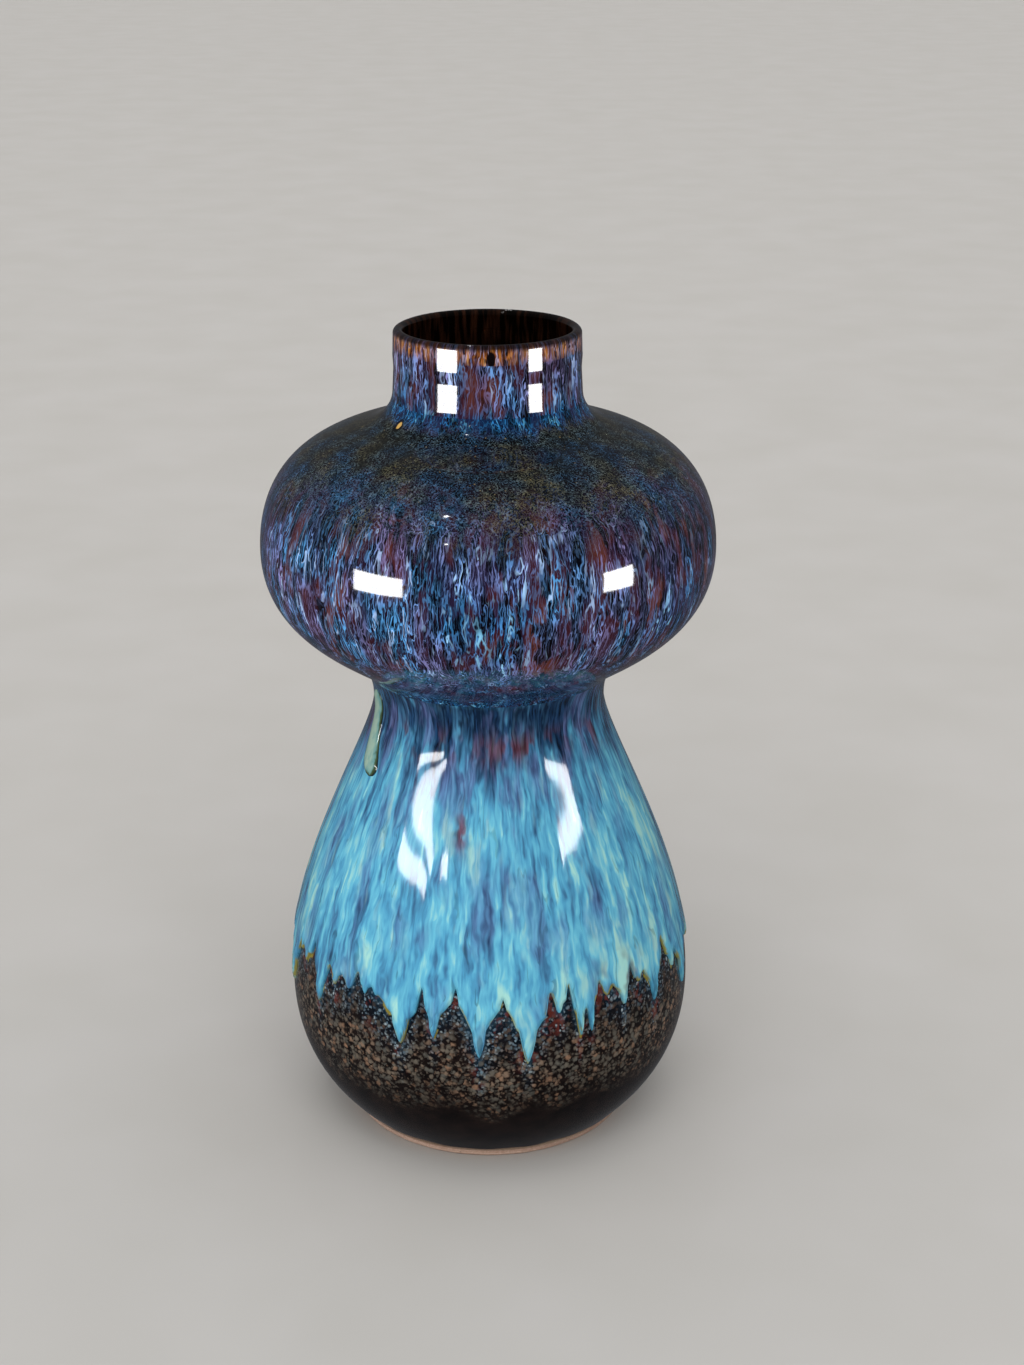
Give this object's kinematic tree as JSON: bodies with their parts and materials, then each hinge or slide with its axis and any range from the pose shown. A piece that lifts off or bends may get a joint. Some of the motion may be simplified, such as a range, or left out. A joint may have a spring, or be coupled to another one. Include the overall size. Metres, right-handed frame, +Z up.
{
  "type": "ceramic bud vase",
  "caption": "Double-gourd stoneware bud vase with a round lower bulb, tight waist, flattened globe and short open neck, under flowing blue glazes.",
  "frame": {"origin": "centre of the foot ring's underside, on the vase's axis of revolution", "axes": "+Z up along the axis of revolution, -Y towards the front, +X to the right seen from the front"},
  "size_m": [0.1086, 0.1086, 0.2],
  "materials": {
    "bare_clay": "matt, unglazed",
    "clay": "matt, under glaze",
    "slip": "matt, under glaze",
    "dark_glaze": "glossy brown-black with tan specks",
    "turquoise_glaze": "glossy, turquoise and blue streaks",
    "violet_glaze": "glossy, blue and violet streaks over brown",
    "neck_glaze": "glossy, fine blue and violet streaks over brown",
    "amber_glaze": "glossy amber and dark brown",
    "liner_glaze": "glossy dark brown",
    "run_glaze": "glossy pale turquoise"
  },
  "bodies": {
    "root": {"foot_ring": "bare_clay", "lower_body": "clay", "waist_slip_seam": "slip", "upper_body": "clay", "neck_slip_seam": "slip", "neck_collar": "clay", "base_glaze": "dark_glaze", "lower_drip_glaze": "turquoise_glaze", "globe_glaze": "violet_glaze", "neck_glaze": "neck_glaze", "lip_glaze": "amber_glaze", "liner_glaze": "liner_glaze", "glaze_run": "run_glaze"}
  },
  "joints": []
}
